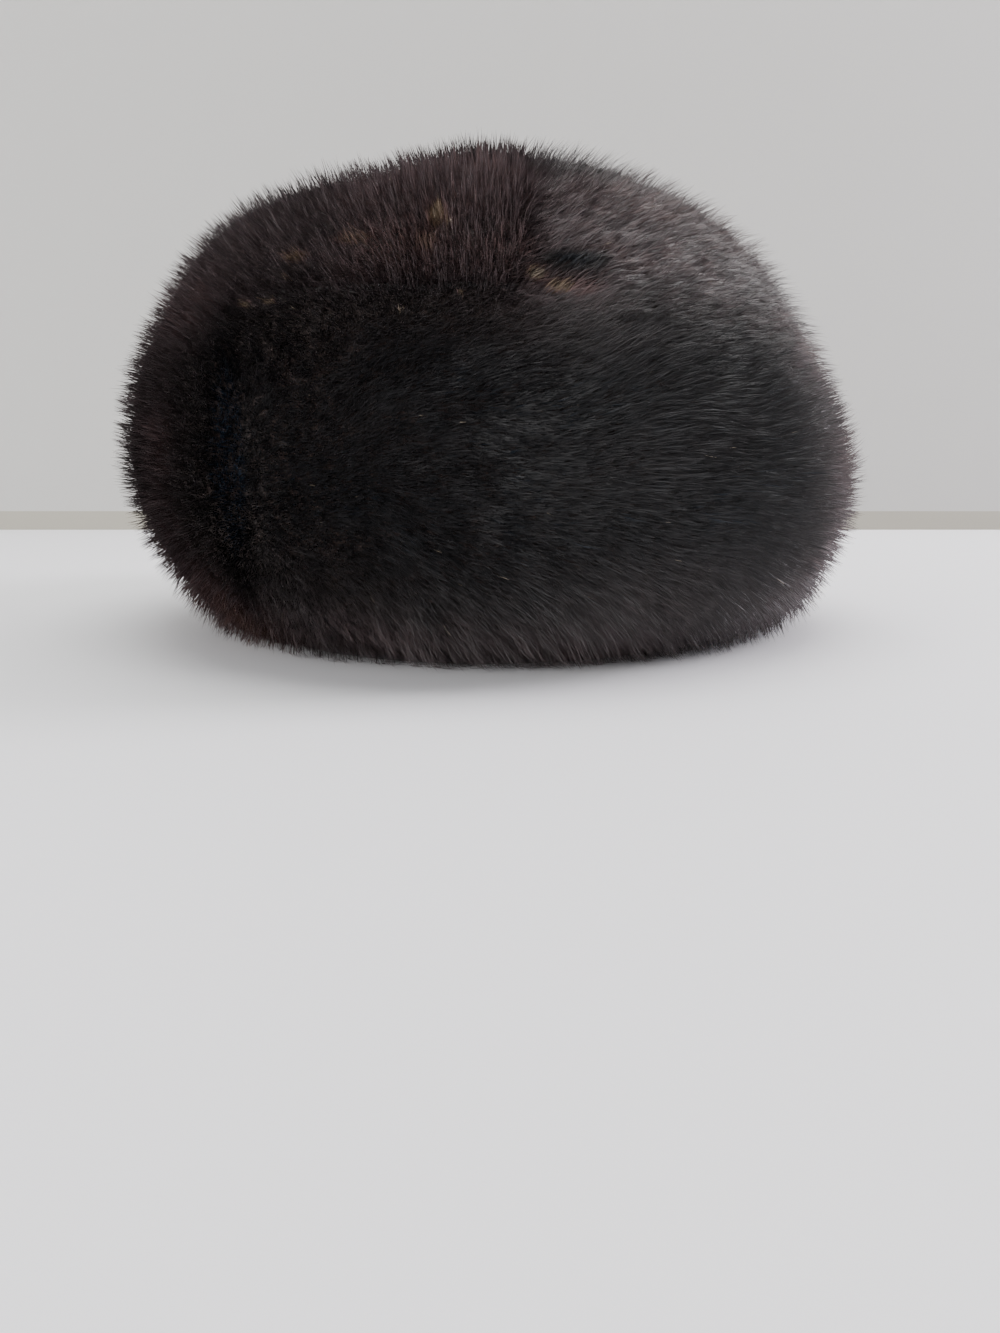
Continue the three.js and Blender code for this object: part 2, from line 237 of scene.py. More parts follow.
def waves(points, wavelength, seed, count=14):
    """A smooth random field: sine waves of about one length that run in random directions, added up."""
    source = np.random.default_rng(seed)
    heading = unit(source.normal(size=(count, 3))).T
    pace = 2 * math.pi / wavelength * source.uniform(0.7, 1.4, count)
    phase = source.uniform(0, 2 * math.pi, count)
    return np.sin(points @ (heading * pace) + phase).sum(-1) * math.sqrt(2 / count)


def crown_seam_row(bearing):
    return CROWN_SEAM_ROW - CROWN_SEAM_TILT * np.sin(bearing)


CROWN_FRONT = float(column_curve(FRONT, RADIUS, np.array(CROWN_SEAM_ROW)))
CROWN_BACK = float(column_curve(BACK, RADIUS, np.array(CROWN_SEAM_ROW)))


def seam_x(seam, y):
    """A seam across the crown is straight from above, from its place at the front to that at the back."""
    share = (y + CROWN_FRONT) / (CROWN_FRONT + CROWN_BACK)
    return seam["front"] + (seam["back"] - seam["front"]) * share


def region_of(point, bearing, rows):
    crown = rows > crown_seam_row(bearing)
    right = point[..., 0] > seam_x(RIGHT_SEAM_X, point[..., 1])
    left = point[..., 0] < seam_x(LEFT_SEAM_X, point[..., 1])
    return np.where(~crown, BAND, np.where(right, CROWN_RIGHT, np.where(left, CROWN_LEFT, CROWN_CENTRE)))


def seam_nearness(point, bearing, rows):
    """How near the ring seam and the seams across the crown are: 1 on a seam, falling to 0 at its reach."""
    to_ring = np.abs(rows - crown_seam_row(bearing)) * ROW_LENGTH
    to_left = np.abs(point[..., 0] - seam_x(LEFT_SEAM_X, point[..., 1]))
    to_right = np.abs(point[..., 0] - seam_x(RIGHT_SEAM_X, point[..., 1]))
    ring = 1 - smooth(to_ring, 0, RING_SEAM["reach"])
    cross = 1 - smooth(np.minimum(to_left, to_right), 0, CROSS_SEAM["reach"])
    return ring, np.where(rows > crown_seam_row(bearing), cross, 0)


def spot(point, x, z, reach_x, reach_z):
    """A round patch on the front: a bell curve of the distance along x and z."""
    bell = np.exp(-(((point[..., 0] - x) / reach_x) ** 2) - ((point[..., 2] - z) / reach_z) ** 2)
    return np.where(point[..., 1] < 0, bell, 0)


def seam_sink(point, bearing, rows):
    """How far the pile lies below the outline because of seams."""
    ring, cross = seam_nearness(point, bearing, rows)
    return RING_SEAM["dip"] * ring + CROSS_SEAM["dip"] * cross * (1 - ring)


def hollow_sink(point):
    """How far the pile lies below the outline because of hollows."""
    return sum(h["depth"] * spot(point, h["x"], h["z"], h["reach_x"], h["reach_z"]) for h in HOLLOWS)


# Meshes from arrays


def make_mesh(name, points, corners, material, smooth_faces=True):
    """One mesh piece from points in millimetres and an array of faces with the same number of corners."""
    count, sides = corners.shape
    mesh = bpy.data.meshes.new(name)
    mesh.vertices.add(len(points))
    mesh.vertices.foreach_set("co", (points * MM).astype(np.float32).ravel())
    mesh.loops.add(count * sides)
    mesh.loops.foreach_set("vertex_index", corners.astype(np.int32).ravel())
    mesh.polygons.add(count)
    mesh.polygons.foreach_set("loop_start", np.arange(0, count * sides, sides, dtype=np.int32))
    mesh.polygons.foreach_set("use_smooth", np.full(count, smooth_faces))
    mesh.materials.append(material)
    mesh.update(calc_edges=True)
    piece = bpy.data.objects.new(name, mesh)
    bpy.context.collection.objects.link(piece)
    return piece


def place(piece, slot, *nodes):
    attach(piece, "root")
    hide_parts(*nodes)


def grid_quads(index, flipped=False):
    """Quads between the neighbours of a grid of point numbers."""
    quads = np.stack([index[:-1, :-1], index[:-1, 1:], index[1:, 1:], index[1:, :-1]], -1).reshape(-1, 4)
    return quads[:, ::-1] if flipped else quads


def closed_slab(outer, inner):
    """A closed sheet between two grids of points of the same size, the outer one facing out."""
    count = outer.shape[0] * outer.shape[1]
    top = np.arange(count).reshape(outer.shape[:2])
    low = top + count
    edges = [(top[0], low[0]), (low[-1], top[-1]), (low[:, 0], top[:, 0]), (top[:, -1], low[:, -1])]
    walls = [grid_quads(np.stack(pair), flipped=True) for pair in edges]
    points = np.concatenate([outer.reshape(-1, 3), inner.reshape(-1, 3)])
    return points, np.concatenate([grid_quads(top), grid_quads(low, flipped=True), *walls])


# Growing the coat


def scatter_roots(count):
    """Roots spread evenly over the outline's area: cells of a fine grid are drawn by their area, in even
    steps of the running total, and each root lies at random in its cell."""
    bearings = np.linspace(-math.pi, math.pi, 721)
    rows = np.linspace(0.02, TOP_ROW - 0.02, 281)
    grid = outline_point(bearings[None, :], rows[:, None])
    across, up = grid[:-1, 1:] - grid[:-1, :-1], grid[1:, :-1] - grid[:-1, :-1]
    total = np.cumsum(np.linalg.norm(np.cross(across, up), axis=-1).ravel())
    draws = (np.arange(count) + rng.random(count)) / count * total[-1]
    cell = np.minimum(np.searchsorted(total, draws), total.size - 1)
    row_index, bearing_index = np.divmod(cell, across.shape[1])
    bearing = bearings[bearing_index] + rng.random(count) * (bearings[1] - bearings[0])
    return bearing, rows[row_index] + rng.random(count) * (rows[1] - rows[0])


def blend(first, second, share):
    return first + (second - first) * share


def turned(axis, way, angle):
    """A way turned round an axis square to it: the angle's cosine of the way, and its sine of the way
    square to both."""
    return np.cos(angle)[:, None] * way + np.sin(angle)[:, None] * np.cross(axis, way)


def zones(point, bearing, rows):
    """How far a place belongs to the crown, to the crown's right and left, and to the band's foot: 0 to 1.
    Behind, the crown fades in over a wider strip."""
    behind = smooth(point[..., 1], -10, 60)
    low, high = (blend(*ends, behind) for ends in zip(CROWN_ZONE["front"], CROWN_ZONE["back"]))
    crown = smooth(rows - crown_seam_row(bearing), low, high)
    right = smooth(point[..., 0] - seam_x(RIGHT_SEAM_X, point[..., 1]), -9, 9)
    left = 1 - smooth(point[..., 0] - seam_x(LEFT_SEAM_X, point[..., 1]), -40, 8)
    foot = 1 - smooth(rows, 0.6, 3.2)
    return crown, right, left, foot


def band_lay(round_way, up_way, bearing, rows, foot):
    """Round the band, upwards on its left, a little upwards at its top, and downwards at its foot."""
    on_left = smooth(-np.cos(bearing), -0.1, 0.8)
    on_right = smooth(np.cos(bearing), 0.2, 0.9)
    rising = blend(BAND_TOP_PITCH * smooth(rows, 3, 6.5), LEFT_PITCH * (1 - smooth(rows, 4, 6.5)), on_left)
    pitch = np.radians(rising - foot * (FOOT_PITCH + RIGHT_FOOT_PITCH * on_right))[:, None]
    return np.cos(pitch) * round_way + np.sin(pitch) * up_way


def crown_lay(point, normal, past_seam, right, left):
    """To the front on the crown's left and middle, and to the right on its right, where it turns to the
    back along the rear edge as the band's does. It is a heading from above, laid down on the skin."""
    x, y, _ = point.T
    rear = smooth(y, 0, 70) * smooth(x, 20, 60) * (1 - smooth(past_seam, 0, 5))
    heading = np.radians(blend(RIGHT_HEADING, REAR_HEADING, rear))
    across = blend(LEFT_SWEEP * left, np.cos(heading), right)
    lay = np.stack([across, blend(-1, np.sin(heading), right), 0 * right], -1)
    return unit(lay - (lay * normal).sum(-1, keepdims=True) * normal)


def lay_of(point, normal, round_way, up_way, bearing, rows):
    """The way the hairs lean: the band's lay blended into the crown's. Slow and quick waves turn it, and
    each tuft strays a little."""
    crown, right, left, foot = zones(point, bearing, rows)
    on_band = band_lay(round_way, up_way, bearing, rows, foot)
    on_crown = crown_lay(point, normal, rows - crown_seam_row(bearing), right, left)
    lay = unit(blend(on_band, on_crown, crown[:, None]))
    turn = np.radians(6) * waves(point, 38, 1) + np.radians(3) * waves(point, 9, 2)
    return turned(normal, lay, turn + np.radians(5) * rng.normal(size=turn.shape))


def lean_of(point, bearing, rows):
    """The degrees between a hair and the skin: those of the band and its left, blended into those of the
    crown, its top and its right. Slow waves change them."""
    crown, right, _, _ = zones(point, bearing, rows)
    band_lean = blend(LEAN["band"], LEAN["left"], smooth(-np.cos(bearing), 0.1, 0.7))
    crown_lean = blend(LEAN["crown"], LEAN["top"], smooth(point[:, 2], 143, 156))
    lean = blend(band_lean, blend(crown_lean, LEAN["right"], right), crown)
    return lean + 3 * waves(point, 14, 6)


def tone_of(point, bearing, rows):
    """The band's tone, lighter at its sides, behind and at its foot, blended into the tones of the crown's
    panels, which are darker near the top. The band's lighter places are painted light: a painted sheen on
    its right, painted light on its left and behind, and painted bounce light from the floor at its foot.
    Slow and quick waves change them a little."""
    crown, right, left, foot = zones(point, bearing, rows)
    _, y, z = point.T
    across, along = np.cos(bearing), np.sin(bearing)
    # Painted light round the band: a painted sheen on its right side, and painted light on its left side
    # and behind.
    sides = TONE["right_side_painted_sheen"] * smooth(across, 0.6, 0.95) + TONE["left_side_painted_light"] * smooth(-across, 0.4, 0.8)
    sides = np.maximum(sides, TONE["rear"] * smooth(along, -0.3, 0.6))
    # Painted bounce light from the floor at the band's foot, more on its left.
    foot_painted_bounce_tone = TONE["foot"] + LEFT_FOOT_PAINTED_BOUNCE * smooth(-across, 0.2, 0.8)
    band_tone = blend(TONE["band"] + sides, foot_painted_bounce_tone, foot)
    left_tone = TONE["crown"] + CROWN_FOOT_TONE * (1 - smooth(z, 104, 128))
    centre_tone = TONE["centre"] + TOP_TONE * smooth(z, 146, 158)
    right_tone = TONE["right"] + TOP_TONE * smooth(z, 132, 152) + RIGHT_REAR_TONE * smooth(y, 10, 70)
    crown_tone = blend(blend(centre_tone, left_tone, left), right_tone, right)
    return blend(band_tone, crown_tone, crown) + 0.03 * waves(point, 42, 4) + 0.02 * waves(point, 6, 5)


def lock_table(cells=256):
    """For each cell of a repeating grid: where in the cell a lock's middle lies, and the lock's own level,
    tone and turn, from -0.5 to 0.5."""
    return np.random.default_rng(8).random((cells, cells, 5)) - 0.5


def locks(along, across):
    """The lock that each root belongs to: the nearest of the middles that lie one to a cell of a stretched
    grid. Returns how far across the lock the root lies, in widths, and the lock's level, tone and turn."""
    table = lock_table()
    place_in_grid = np.stack([along / LOCK_LENGTH, across / LOCK_WIDTH], -1)
    base = np.floor(place_in_grid).astype(int)
    best = np.full(len(along), np.inf)
    found = np.zeros((len(along), 4))
    for step in [(i, j) for i in (-1, 0, 1) for j in (-1, 0, 1)]:
        cell = base + step
        values = table[cell[:, 0] % len(table), cell[:, 1] % len(table)]
        away = place_in_grid - (cell + 0.5 + LOCK_STRAY * values[:, :2])
        distance = (away**2).sum(-1)
        closer = distance < best
        best = np.where(closer, distance, best)
        found = np.where(closer[:, None], np.column_stack([away[:, 1], values[:, 2:]]), found)
    return found.T


def lock_fields(point, bearing, rows, region):
    """Each root's lock, on a grid that runs along the lay, and how strongly the locks show: in full on the
    right, above a line that falls to the right, and faintly elsewhere."""
    x, y, z = point.T
    where = [region == CROWN_RIGHT, region != BAND]
    along = np.select(where, [x, -y - 0.4 * x], bearing * MEAN_RADIUS)
    across = np.select(where, [y + 0.2 * x, x], rows * ROW_LENGTH)
    strength = blend(LOCK_FAINT, 1, smooth(x, 5, 45) * smooth(z + 0.14 * x, 84, 108))
    return locks(along, across), strength


def tufts(count):
    """Roots with their frames, region, lay, lean and tone, and how far their pile sinks. Each lock turns
    and tones its tufts, and lifts them by its own level and by a parabola across its width."""
    bearing, rows = scatter_roots(count)
    point, normal, round_way, up_way = outline_frame(bearing, rows)
    region = region_of(point, bearing, rows)
    (lock_across, lock_level, lock_tone, lock_turn), strength = lock_fields(point, bearing, rows, region)
    lay = lay_of(point, normal, round_way, up_way, bearing, rows)
    lay = turned(normal, lay, LOCK_TURN * strength * lock_turn)
    over = (strength * lock_across)[:, None] * np.cross(normal, lay)
    level = strength * LOCK_LEVEL * (2 * lock_level - 4 * np.minimum(lock_across**2, 0.5))
    return {
        "point": point, "normal": normal, "lay": lay, "bearing": bearing, "region": region,
        "sink": COAT_SINK * seam_sink(point, bearing, rows) + hollow_sink(point) - level,
        "lean": np.radians(lean_of(point, bearing, rows) + 4 * rng.normal(size=count)),
        "tone": tone_of(point, bearing, rows) + LOCK_TONE * strength * lock_tone,
        "top": unit(normal + LOCK_DOME * over), "pull": -LOCK_PULL * LOCK_WIDTH * over,
        "foot": 1 - smooth(rows, 0.2, 1.6), "loose": 1 - strength,
    }


def grow(tuft, hairs, tip_height, steeper, root_spread, pull):
    """The roots, middles and tips of the hairs of each tuft, and which way their sides point. A hair rises
    to its height and runs along its lay by the rise over the tangent of its lean, more slowly at first.
    Its tip drifts at random, and towards the middle of its lock."""
    count = len(tip_height) * hairs
    many = {key: np.repeat(value, hairs, axis=0) for key, value in tuft.items()}
    normal, lay = many["normal"], many["lay"]
    side = np.cross(lay, normal)
    spread = rng.normal(size=(4, count, 1))
    root_drift = root_spread * (spread[0] * lay + spread[1] * side)
    root = many["point"] - normal * (ROOT_DEPTH + many["sink"])[:, None] + root_drift
    loose = many["loose"][:, None]
    rise = np.repeat(tip_height, hairs) + ROOT_DEPTH + rng.normal(0, 0.35 + 0.15 * many["loose"])
    rise = np.maximum(rise, LEAST_RISE)[:, None]
    run = rise / np.tan((many["lean"] + steeper) * rng.uniform(0.85, 1.15, count))[:, None]
    drift = (TIP_SPREAD + LOOSE_SPREAD * loose) * (spread[2] * lay + spread[3] * side)
    drift = drift - GATHERING * (1 - loose) * root_drift + pull * many["pull"]
    tip = root + rise * normal + run * lay + drift
    middle = root + MIDDLE["rise"] * rise * normal + MIDDLE["run"] * run * lay + MIDDLE["drift"] * drift
    for ends in (middle, tip):
        ends[:, 2] = np.maximum(ends[:, 2], FLOOR_CLEARANCE)
    tone = np.clip(many["tone"] + rng.normal(0, HAIR_TONE, count), 0.01, 0.99)
    # A very few hairs are pale: partly real pale guard hairs, partly painted glints.
    tone = np.where(rng.random(count) < PALE_AND_GLINT_SHARE, PALE_AND_GLINT_TONE, tone)
    seen = blend(middle, tip, SEEN_AT)
    for mark in MARKS:
        share = spot(seen, mark["x"], mark["z"], mark["reach_x"], mark["reach_z"])
        tone = blend(tone, mark["tone"], smooth(share, *MARK_EDGE))
    along = unit(tip - root)
    blade = turned(along, unit(np.cross(along, normal)), rng.uniform(-BLADE_ROLL, BLADE_ROLL, count))
    return {
        "root": root, "middle": middle, "tip": tip, "top": many["top"],
        "blade": 0.5 * blade * rng.uniform(0.75, 1.25, count)[:, None],
        "tone": tone, "region": many["region"], "bearing": many["bearing"],
    }


def body_coat():
    """The even coat: tips just below the outline, uneven from tuft to tuft, most so in strong locks, and in
    slow waves."""
    tuft = tufts(BODY_TUFTS)
    uneven = rng.uniform(-BODY_UNEVEN, BODY_UNEVEN, BODY_TUFTS) * (1 - 0.6 * tuft["loose"])
    level = BODY_LEVEL + uneven + 0.2 * waves(tuft["point"], 11, 3)
    return grow(tuft, BODY_HAIRS, level, 0, ROOT_SPREAD["body"], 1)


def long_coat():
    """The few longest guard hairs, a little darker, which stand out past the rest and make a soft edge."""
    tuft = tufts(LONG_TUFTS)
    level = LONG_LEVEL + LONG_REACH * rng.random(LONG_TUFTS) ** 1.5 + FOOT_REACH * tuft["foot"]
    tuft["tone"] = tuft["tone"] - 0.04
    return grow(tuft, LONG_HAIRS, level, np.radians(LONG_STEEPER), ROOT_SPREAD["long"], LONG_PULL)


TONE_WIDTH = 0.0015  # how much of the colour map a hair takes to each side of its tone
HAIR_ROUNDING = math.radians(65)  # how far its normals turn at its edges


def hair_shapes(hairs, chosen, bent):
    """The points, faces, map places and normals of some hairs. A straight hair is one triangle, wide at its
    root and pointed at its tip. A bent one is two: a point at the root, the full width at its middle, and
    a point at the tip. On the map a hair's tone goes across, and root to tip upwards. Its normals turn
    outwards at its edges, so that the flat blade takes the light as a round hair does."""
    hairs = {key: value[chosen] for key, value in hairs.items()}
    count = len(hairs["root"])
    if bent:
        blade = LONG_WIDTH * hairs["blade"]
        points = [hairs["root"], hairs["middle"] - blade, hairs["middle"] + blade, hairs["tip"]]
        across, upwards, corners = [0, -1, 1, 0], [0, 0.5, 0.5, 1], [[0, 2, 1], [1, 2, 3]]
    else:
        blade = BODY_WIDTH * hairs["blade"]
        points = [hairs["root"] - blade, hairs["root"] + blade, hairs["tip"]]
        across, upwards, corners = [-1, 1, 0], [0, 0, 1], [[0, 1, 2]]
    starts = len(points) * np.arange(count)[:, None, None]
    places = np.empty((count, len(points), 2))
    places[..., 0] = hairs["tone"][:, None] + TONE_WIDTH * np.array(across)
    places[..., 1] = upwards
    along = unit(hairs["tip"] - hairs["root"])
    top = unit(hairs["top"] - (hairs["top"] * along).sum(-1, keepdims=True) * along)
    turn = HAIR_ROUNDING * np.array(across)[None, :, None]
    normals = np.cos(turn) * top[:, None] + np.sin(turn) * unit(hairs["blade"])[:, None]
    return [
        np.stack(points, 1).reshape(-1, 3),
        (starts + np.array(corners)).reshape(-1, 3),
        places.reshape(-1, 2),
        unit(normals).reshape(-1, 3),
    ]


def hair_piece(name, shapes, material):
    """One mesh of straight and bent hairs, with their tones on its map. The bent ones' faces count on from
    the straight ones' points."""
    shapes[1][1] += len(shapes[0][0])
    points, corners, places, normals = (np.concatenate(parts) for parts in zip(*shapes))
    piece = make_mesh(name, points, corners, material)
    piece.data.normals_split_custom_set_from_vertices(normals.astype(np.float32))
    layer = piece.data.uv_layers.new(name="OFBake")
    layer.data.foreach_set("uv", places[corners.ravel()].astype(np.float32).ravel())
    return piece


# Pelts under the coat


def underfur_point(bearing, rows, depth):
    """A point of the pelt, below the outline by a depth. The underfur's outer side also sinks at seams and
    hollows."""
    point, normal, _, _ = outline_frame(bearing, rows)
    sink = 0 * rows
    if depth == UNDERFUR_DEPTH:
        sink = seam_sink(point, bearing, rows) + hollow_sink(point)
    return point - normal * (depth + sink)[..., None]


def band_rings(bearing):
    """The band's underfur in rings: up its outside, and down its inner side, where it meets the hide."""
    top = crown_seam_row(bearing) - SEAM_GAP / 2 / ROW_LENGTH
    outside = [underfur_point(bearing, top * share, UNDERFUR_DEPTH) for share in np.linspace(0, 1, 25)]
    inside = [underfur_point(bearing, top * share, HIDE_DEPTH) for share in np.linspace(1, 0.05, 12)]
    return outside, inside


def rim_ring(bearing, outset, height):
    """An oval ring outside the opening: its half width and half length by the bearing's cosine and sine."""
    half_width, half_length = OPENING_HALF_WIDTH + outset, OPENING_HALF_LENGTH + outset
    flat = np.full_like(bearing, float(height))
    return np.stack([half_width * np.cos(bearing), half_length * np.sin(bearing), flat], -1)


def ring_solid(rings):
    """A closed ring: its profile's points in rings, each joined to the next, and the last to the first."""
    grid = np.stack(rings)
    index = np.arange(grid.shape[0] * grid.shape[1]).reshape(grid.shape[:2])
    index = np.concatenate([index, index[:1]])
    index = np.concatenate([index, index[:, :1]], 1)
    return grid.reshape(-1, 3), grid_quads(index)


def crown_rows(x, y):
    """The outline's bearing and row above a place on the crown. The row is found by halving: its radii
    shrink upwards, so the place's distance as a share of them grows."""
    facing = np.arctan2(y, x)
    low, high = np.full(x.shape, 5.0), np.full(x.shape, float(TOP_ROW))
    for _ in range(30):
        middle = (low + high) / 2
        side, end = towards(facing, middle, RADIUS)
        beyond = np.hypot(x / side, y / end) > 1
        high = np.where(beyond, middle, high)
        low = np.where(beyond, low, middle)
    side, end = towards(facing, low, RADIUS)
    return np.arctan2(y / end, x / side), low


def ring_place(bearing):
    """The crown's edge seen from above."""
    return outline_point(bearing, crown_seam_row(bearing) + SEAM_GAP / 2 / ROW_LENGTH)[..., :2]


def seam_bearing(seam, inset, low, high):
    """The bearing at which a seam meets the crown's edge, between two bearings."""
    bearing = np.linspace(low, high, 2001)
    place_there = ring_place(bearing)
    miss = place_there[:, 0] - seam_x(seam, place_there[:, 1]) - inset
    order = np.argsort(miss)
    return np.interp(0, miss[order], bearing[order])


def seam_ends(seam, inset):
    """The bearings of a seam's front and back ends, each looked for from the middle to the seam's side."""
    quarter = math.pi / 2
    aside = math.copysign(0.3 * math.pi, -seam["front"])
    front = seam_bearing(seam, inset, -quarter, -quarter - aside)
    return np.array([front, seam_bearing(seam, inset, quarter, quarter + aside)])


def panel_patch(near, far, far_straight, count):
    """A four-sided patch seen from above, from a seam between the two near bearings to the crown's edge or
    another seam between the far ones. Its first and last sides follow the crown's edge, straight lines join
    them, and those lines bow out towards a far side that isn't straight."""
    u, v = np.linspace(0, 1, count[0])[:, None], np.linspace(0, 1, count[1])[None, :]
    first, last = (ring_place(blend(start, end, v)) for start, end in zip(near, far))
    patch = blend(first, last, u[..., None])
    if far_straight:
        return patch
    bow = ring_place(blend(*far, u)) - blend(*ring_place(far), u[..., None])
    return patch + v[..., None] * bow


def crown_patches():
    """The crown's three panels. On the outer two, the far side is the middle half of the crown's edge."""
    half = SEAM_GAP / 2
    left = seam_ends(LEFT_SEAM_X, -half) + [2 * math.pi, 0]
    right = seam_ends(RIGHT_SEAM_X, half)[::-1]
    return [
        panel_patch(left, blend(left, left[::-1], 0.25), False, (41, 21)),
        panel_patch(seam_ends(RIGHT_SEAM_X, -half), seam_ends(LEFT_SEAM_X, half), True, (41, 7)),
        panel_patch(right, blend(right, right[::-1], 0.25), False, (41, 21)),
    ]


def make_pelts(underfur, hide):
    """Closed sheets of underfur with the hide inside them, a pair to each panel of the crown, and rings of
    both for the band."""
    for node, slot, patch in zip(REGIONS, SLOTS, crown_patches()):
        bearing, rows = crown_rows(patch[..., 0], patch[..., 1])
        depths = (UNDERFUR_DEPTH, HIDE_DEPTH, PELT_THICKNESS)
        outer, inner, inmost = (underfur_point(bearing, rows, depth).transpose(1, 0, 2) for depth in depths)
        short = node.replace("crown_panel_", "crown_")
        place(make_mesh("underfur_" + short, *closed_slab(outer, inner), underfur), slot, node)
        place(make_mesh("hide_" + short, *closed_slab(inner, inmost), hide), "pelt_hide", node)
    bearing = np.linspace(-math.pi, math.pi, 161)[:-1]
    outside, inside = band_rings(bearing)
    rim = [rim_ring(bearing, outset, height) for outset, height in RIM_PROFILE]
    band = make_mesh("underfur_side_band", *ring_solid([*outside, *inside, *rim]), underfur)
    place(band, "band_fur", "side_band")
    top = crown_seam_row(bearing) - SEAM_GAP / 2 / ROW_LENGTH
    inner = [underfur_point(bearing, top * share, PELT_THICKNESS) for share in np.linspace(0.05, 1, 12)]
    band_hide = make_mesh("hide_side_band", *ring_solid([*inside, *inner]), hide)
    place(band_hide, "pelt_hide", "side_band")


# Materials


def linear(colour):
    """An sRGB hex colour as linear red, green, blue and alpha."""
    channels = [(colour >> shift & 255) / 255 for shift in (16, 8, 0)]
    return (*(c / 12.92 if c <= 0.04045 else ((c + 0.055) / 1.055) ** 2.4 for c in channels), 1)


def add_node(tree, kind, inputs=None, **settings):
    """Adds a node, makes its settings, and sets or links its inputs."""
    node = tree.nodes.new(kind)
    for name, value in settings.items():
        setattr(node, name, value)
    for name, value in (inputs or {}).items():
        if isinstance(value, bpy.types.NodeSocket):
            tree.links.new(value, node.inputs[name])
        else:
            node.inputs[name].default_value = value
    return node


def new_material(name):
    material = bpy.data.materials.new(name)
    material.use_nodes = True
    tree = material.node_tree
    tree.nodes.clear()
    return material, tree


def add_ramp(tree, factor, stops):
    node = add_node(tree, "ShaderNodeValToRGB", {"Fac": factor})
    elements = node.color_ramp.elements
    while len(elements) < len(stops):
        elements.new(1)
    for element, (position, colour) in zip(elements, stops):
        element.position = position
        element.color = linear(colour)
    return node.outputs["Color"]


def mix_colours(tree, share, first, second):
    """A blend from the first colour to the second, each a socket or a value."""
    node = add_node(tree, "ShaderNodeMix", {"Factor": share}, data_type="RGBA")
    for place_in, colour in ((6, first), (7, second)):
        if isinstance(colour, bpy.types.NodeSocket):
            tree.links.new(colour, node.inputs[place_in])
        else:
            node.inputs[place_in].default_value = colour
    return node.outputs[2]


FUR_COLOURS = [
    (0.0, 0x202B38), (0.08, 0x1A1B1D), (0.25, 0x282627), (0.45, 0x3F3A3A),
    (0.6, 0x5A4F50), (0.75, 0x725D5B), (0.88, 0x7E6D5B), (1.0, 0xB4A897),
]
ROOT_COLOUR = 0x574B42


def mink_guard_hair(name, gloss):
    """Keratin guard hair, smooth, so it glints along its length: its tone's brown, and a little paler over
    the first third, next to the root."""
    material, tree = new_material(name)
    place_on_map = add_node(tree, "ShaderNodeUVMap", uv_map="OFBake").outputs["UV"]
    split = add_node(tree, "ShaderNodeSeparateXYZ", {"Vector": place_on_map})
    tone = add_ramp(tree, split.outputs["X"], FUR_COLOURS)
    from_root = add_node(
        tree, "ShaderNodeMapRange",
        {"Value": split.outputs["Y"], "From Min": 0.05, "From Max": 0.4, "To Min": 0.6},
    ).outputs["Result"]
    colour = mix_colours(tree, from_root, linear(ROOT_COLOUR), tone)
    surface = add_node(
        tree, "ShaderNodeBsdfPrincipled",
        {"Base Color": colour, "Roughness": 0.32, "IOR": 1.55, "Specular IOR Level": gloss},
    )
    add_node(tree, "ShaderNodeOutputMaterial", {"Surface": surface.outputs["BSDF"]})
    return material


def mink_underfur():
    """Underfur, matt and woolly: a soft brown mottle about 4.5 mm across with no gloss, and wool of about
    1 mm, coarser than the real one so that it shows."""
    material, tree = new_material("mink underfur")
    place_here = add_node(tree, "ShaderNodeTexCoord").outputs["Object"]
    mottle = add_node(tree, "ShaderNodeTexNoise", {"Vector": place_here, "Scale": 220.0, "Detail": 3.0})
    colour = add_ramp(tree, mottle.outputs["Fac"], [(0.3, 0x1C1412), (0.7, 0x33241F)])
    wool = add_node(tree, "ShaderNodeTexNoise", {"Vector": place_here, "Scale": 900.0, "Detail": 2.0})
    bump = add_node(
        tree, "ShaderNodeBump", {"Height": wool.outputs["Fac"], "Strength": 0.6, "Distance": 0.0006}
    )
    surface = add_node(
        tree, "ShaderNodeBsdfPrincipled",
        {"Base Color": colour, "Roughness": 0.95, "Normal": bump.outputs["Normal"], "Sheen Weight": 0.2},
    )
    add_node(tree, "ShaderNodeOutputMaterial", {"Surface": surface.outputs["BSDF"]})
    return material


def tanned_hide():
    """Tanned mink skin, the pelt's inner side: soft, pale and matt like fine suede, clouded every 22 mm or
    so, with a nap of 0.7 mm."""
    material, tree = new_material("tanned mink hide")
    place_here = add_node(tree, "ShaderNodeTexCoord").outputs["Object"]
    cloud = add_node(tree, "ShaderNodeTexNoise", {"Vector": place_here, "Scale": 45.0, "Detail": 4.0})
    colour = add_ramp(tree, cloud.outputs["Fac"], [(0.3, 0x8E7258), (0.7, 0xAC9076)])
    nap = add_node(tree, "ShaderNodeTexNoise", {"Vector": place_here, "Scale": 1400.0, "Detail": 2.0})
    bump = add_node(
        tree, "ShaderNodeBump", {"Height": nap.outputs["Fac"], "Strength": 0.35, "Distance": 0.0003}
    )
    surface = add_node(
        tree, "ShaderNodeBsdfPrincipled",
        {"Base Color": colour, "Roughness": 0.9, "Normal": bump.outputs["Normal"], "Sheen Weight": 0.3},
    )
    add_node(tree, "ShaderNodeOutputMaterial", {"Surface": surface.outputs["BSDF"]})
    return material


# The stage: camera, floor, wall and lights

FOCAL_PIXELS = 1001
IMAGE_HEIGHT = 1333
CAMERA_PLACE = (0.0039, -0.392, 0.0605)
CAMERA_PITCH_DOWN = math.radians(12)
WALL_DISTANCE = 0.43


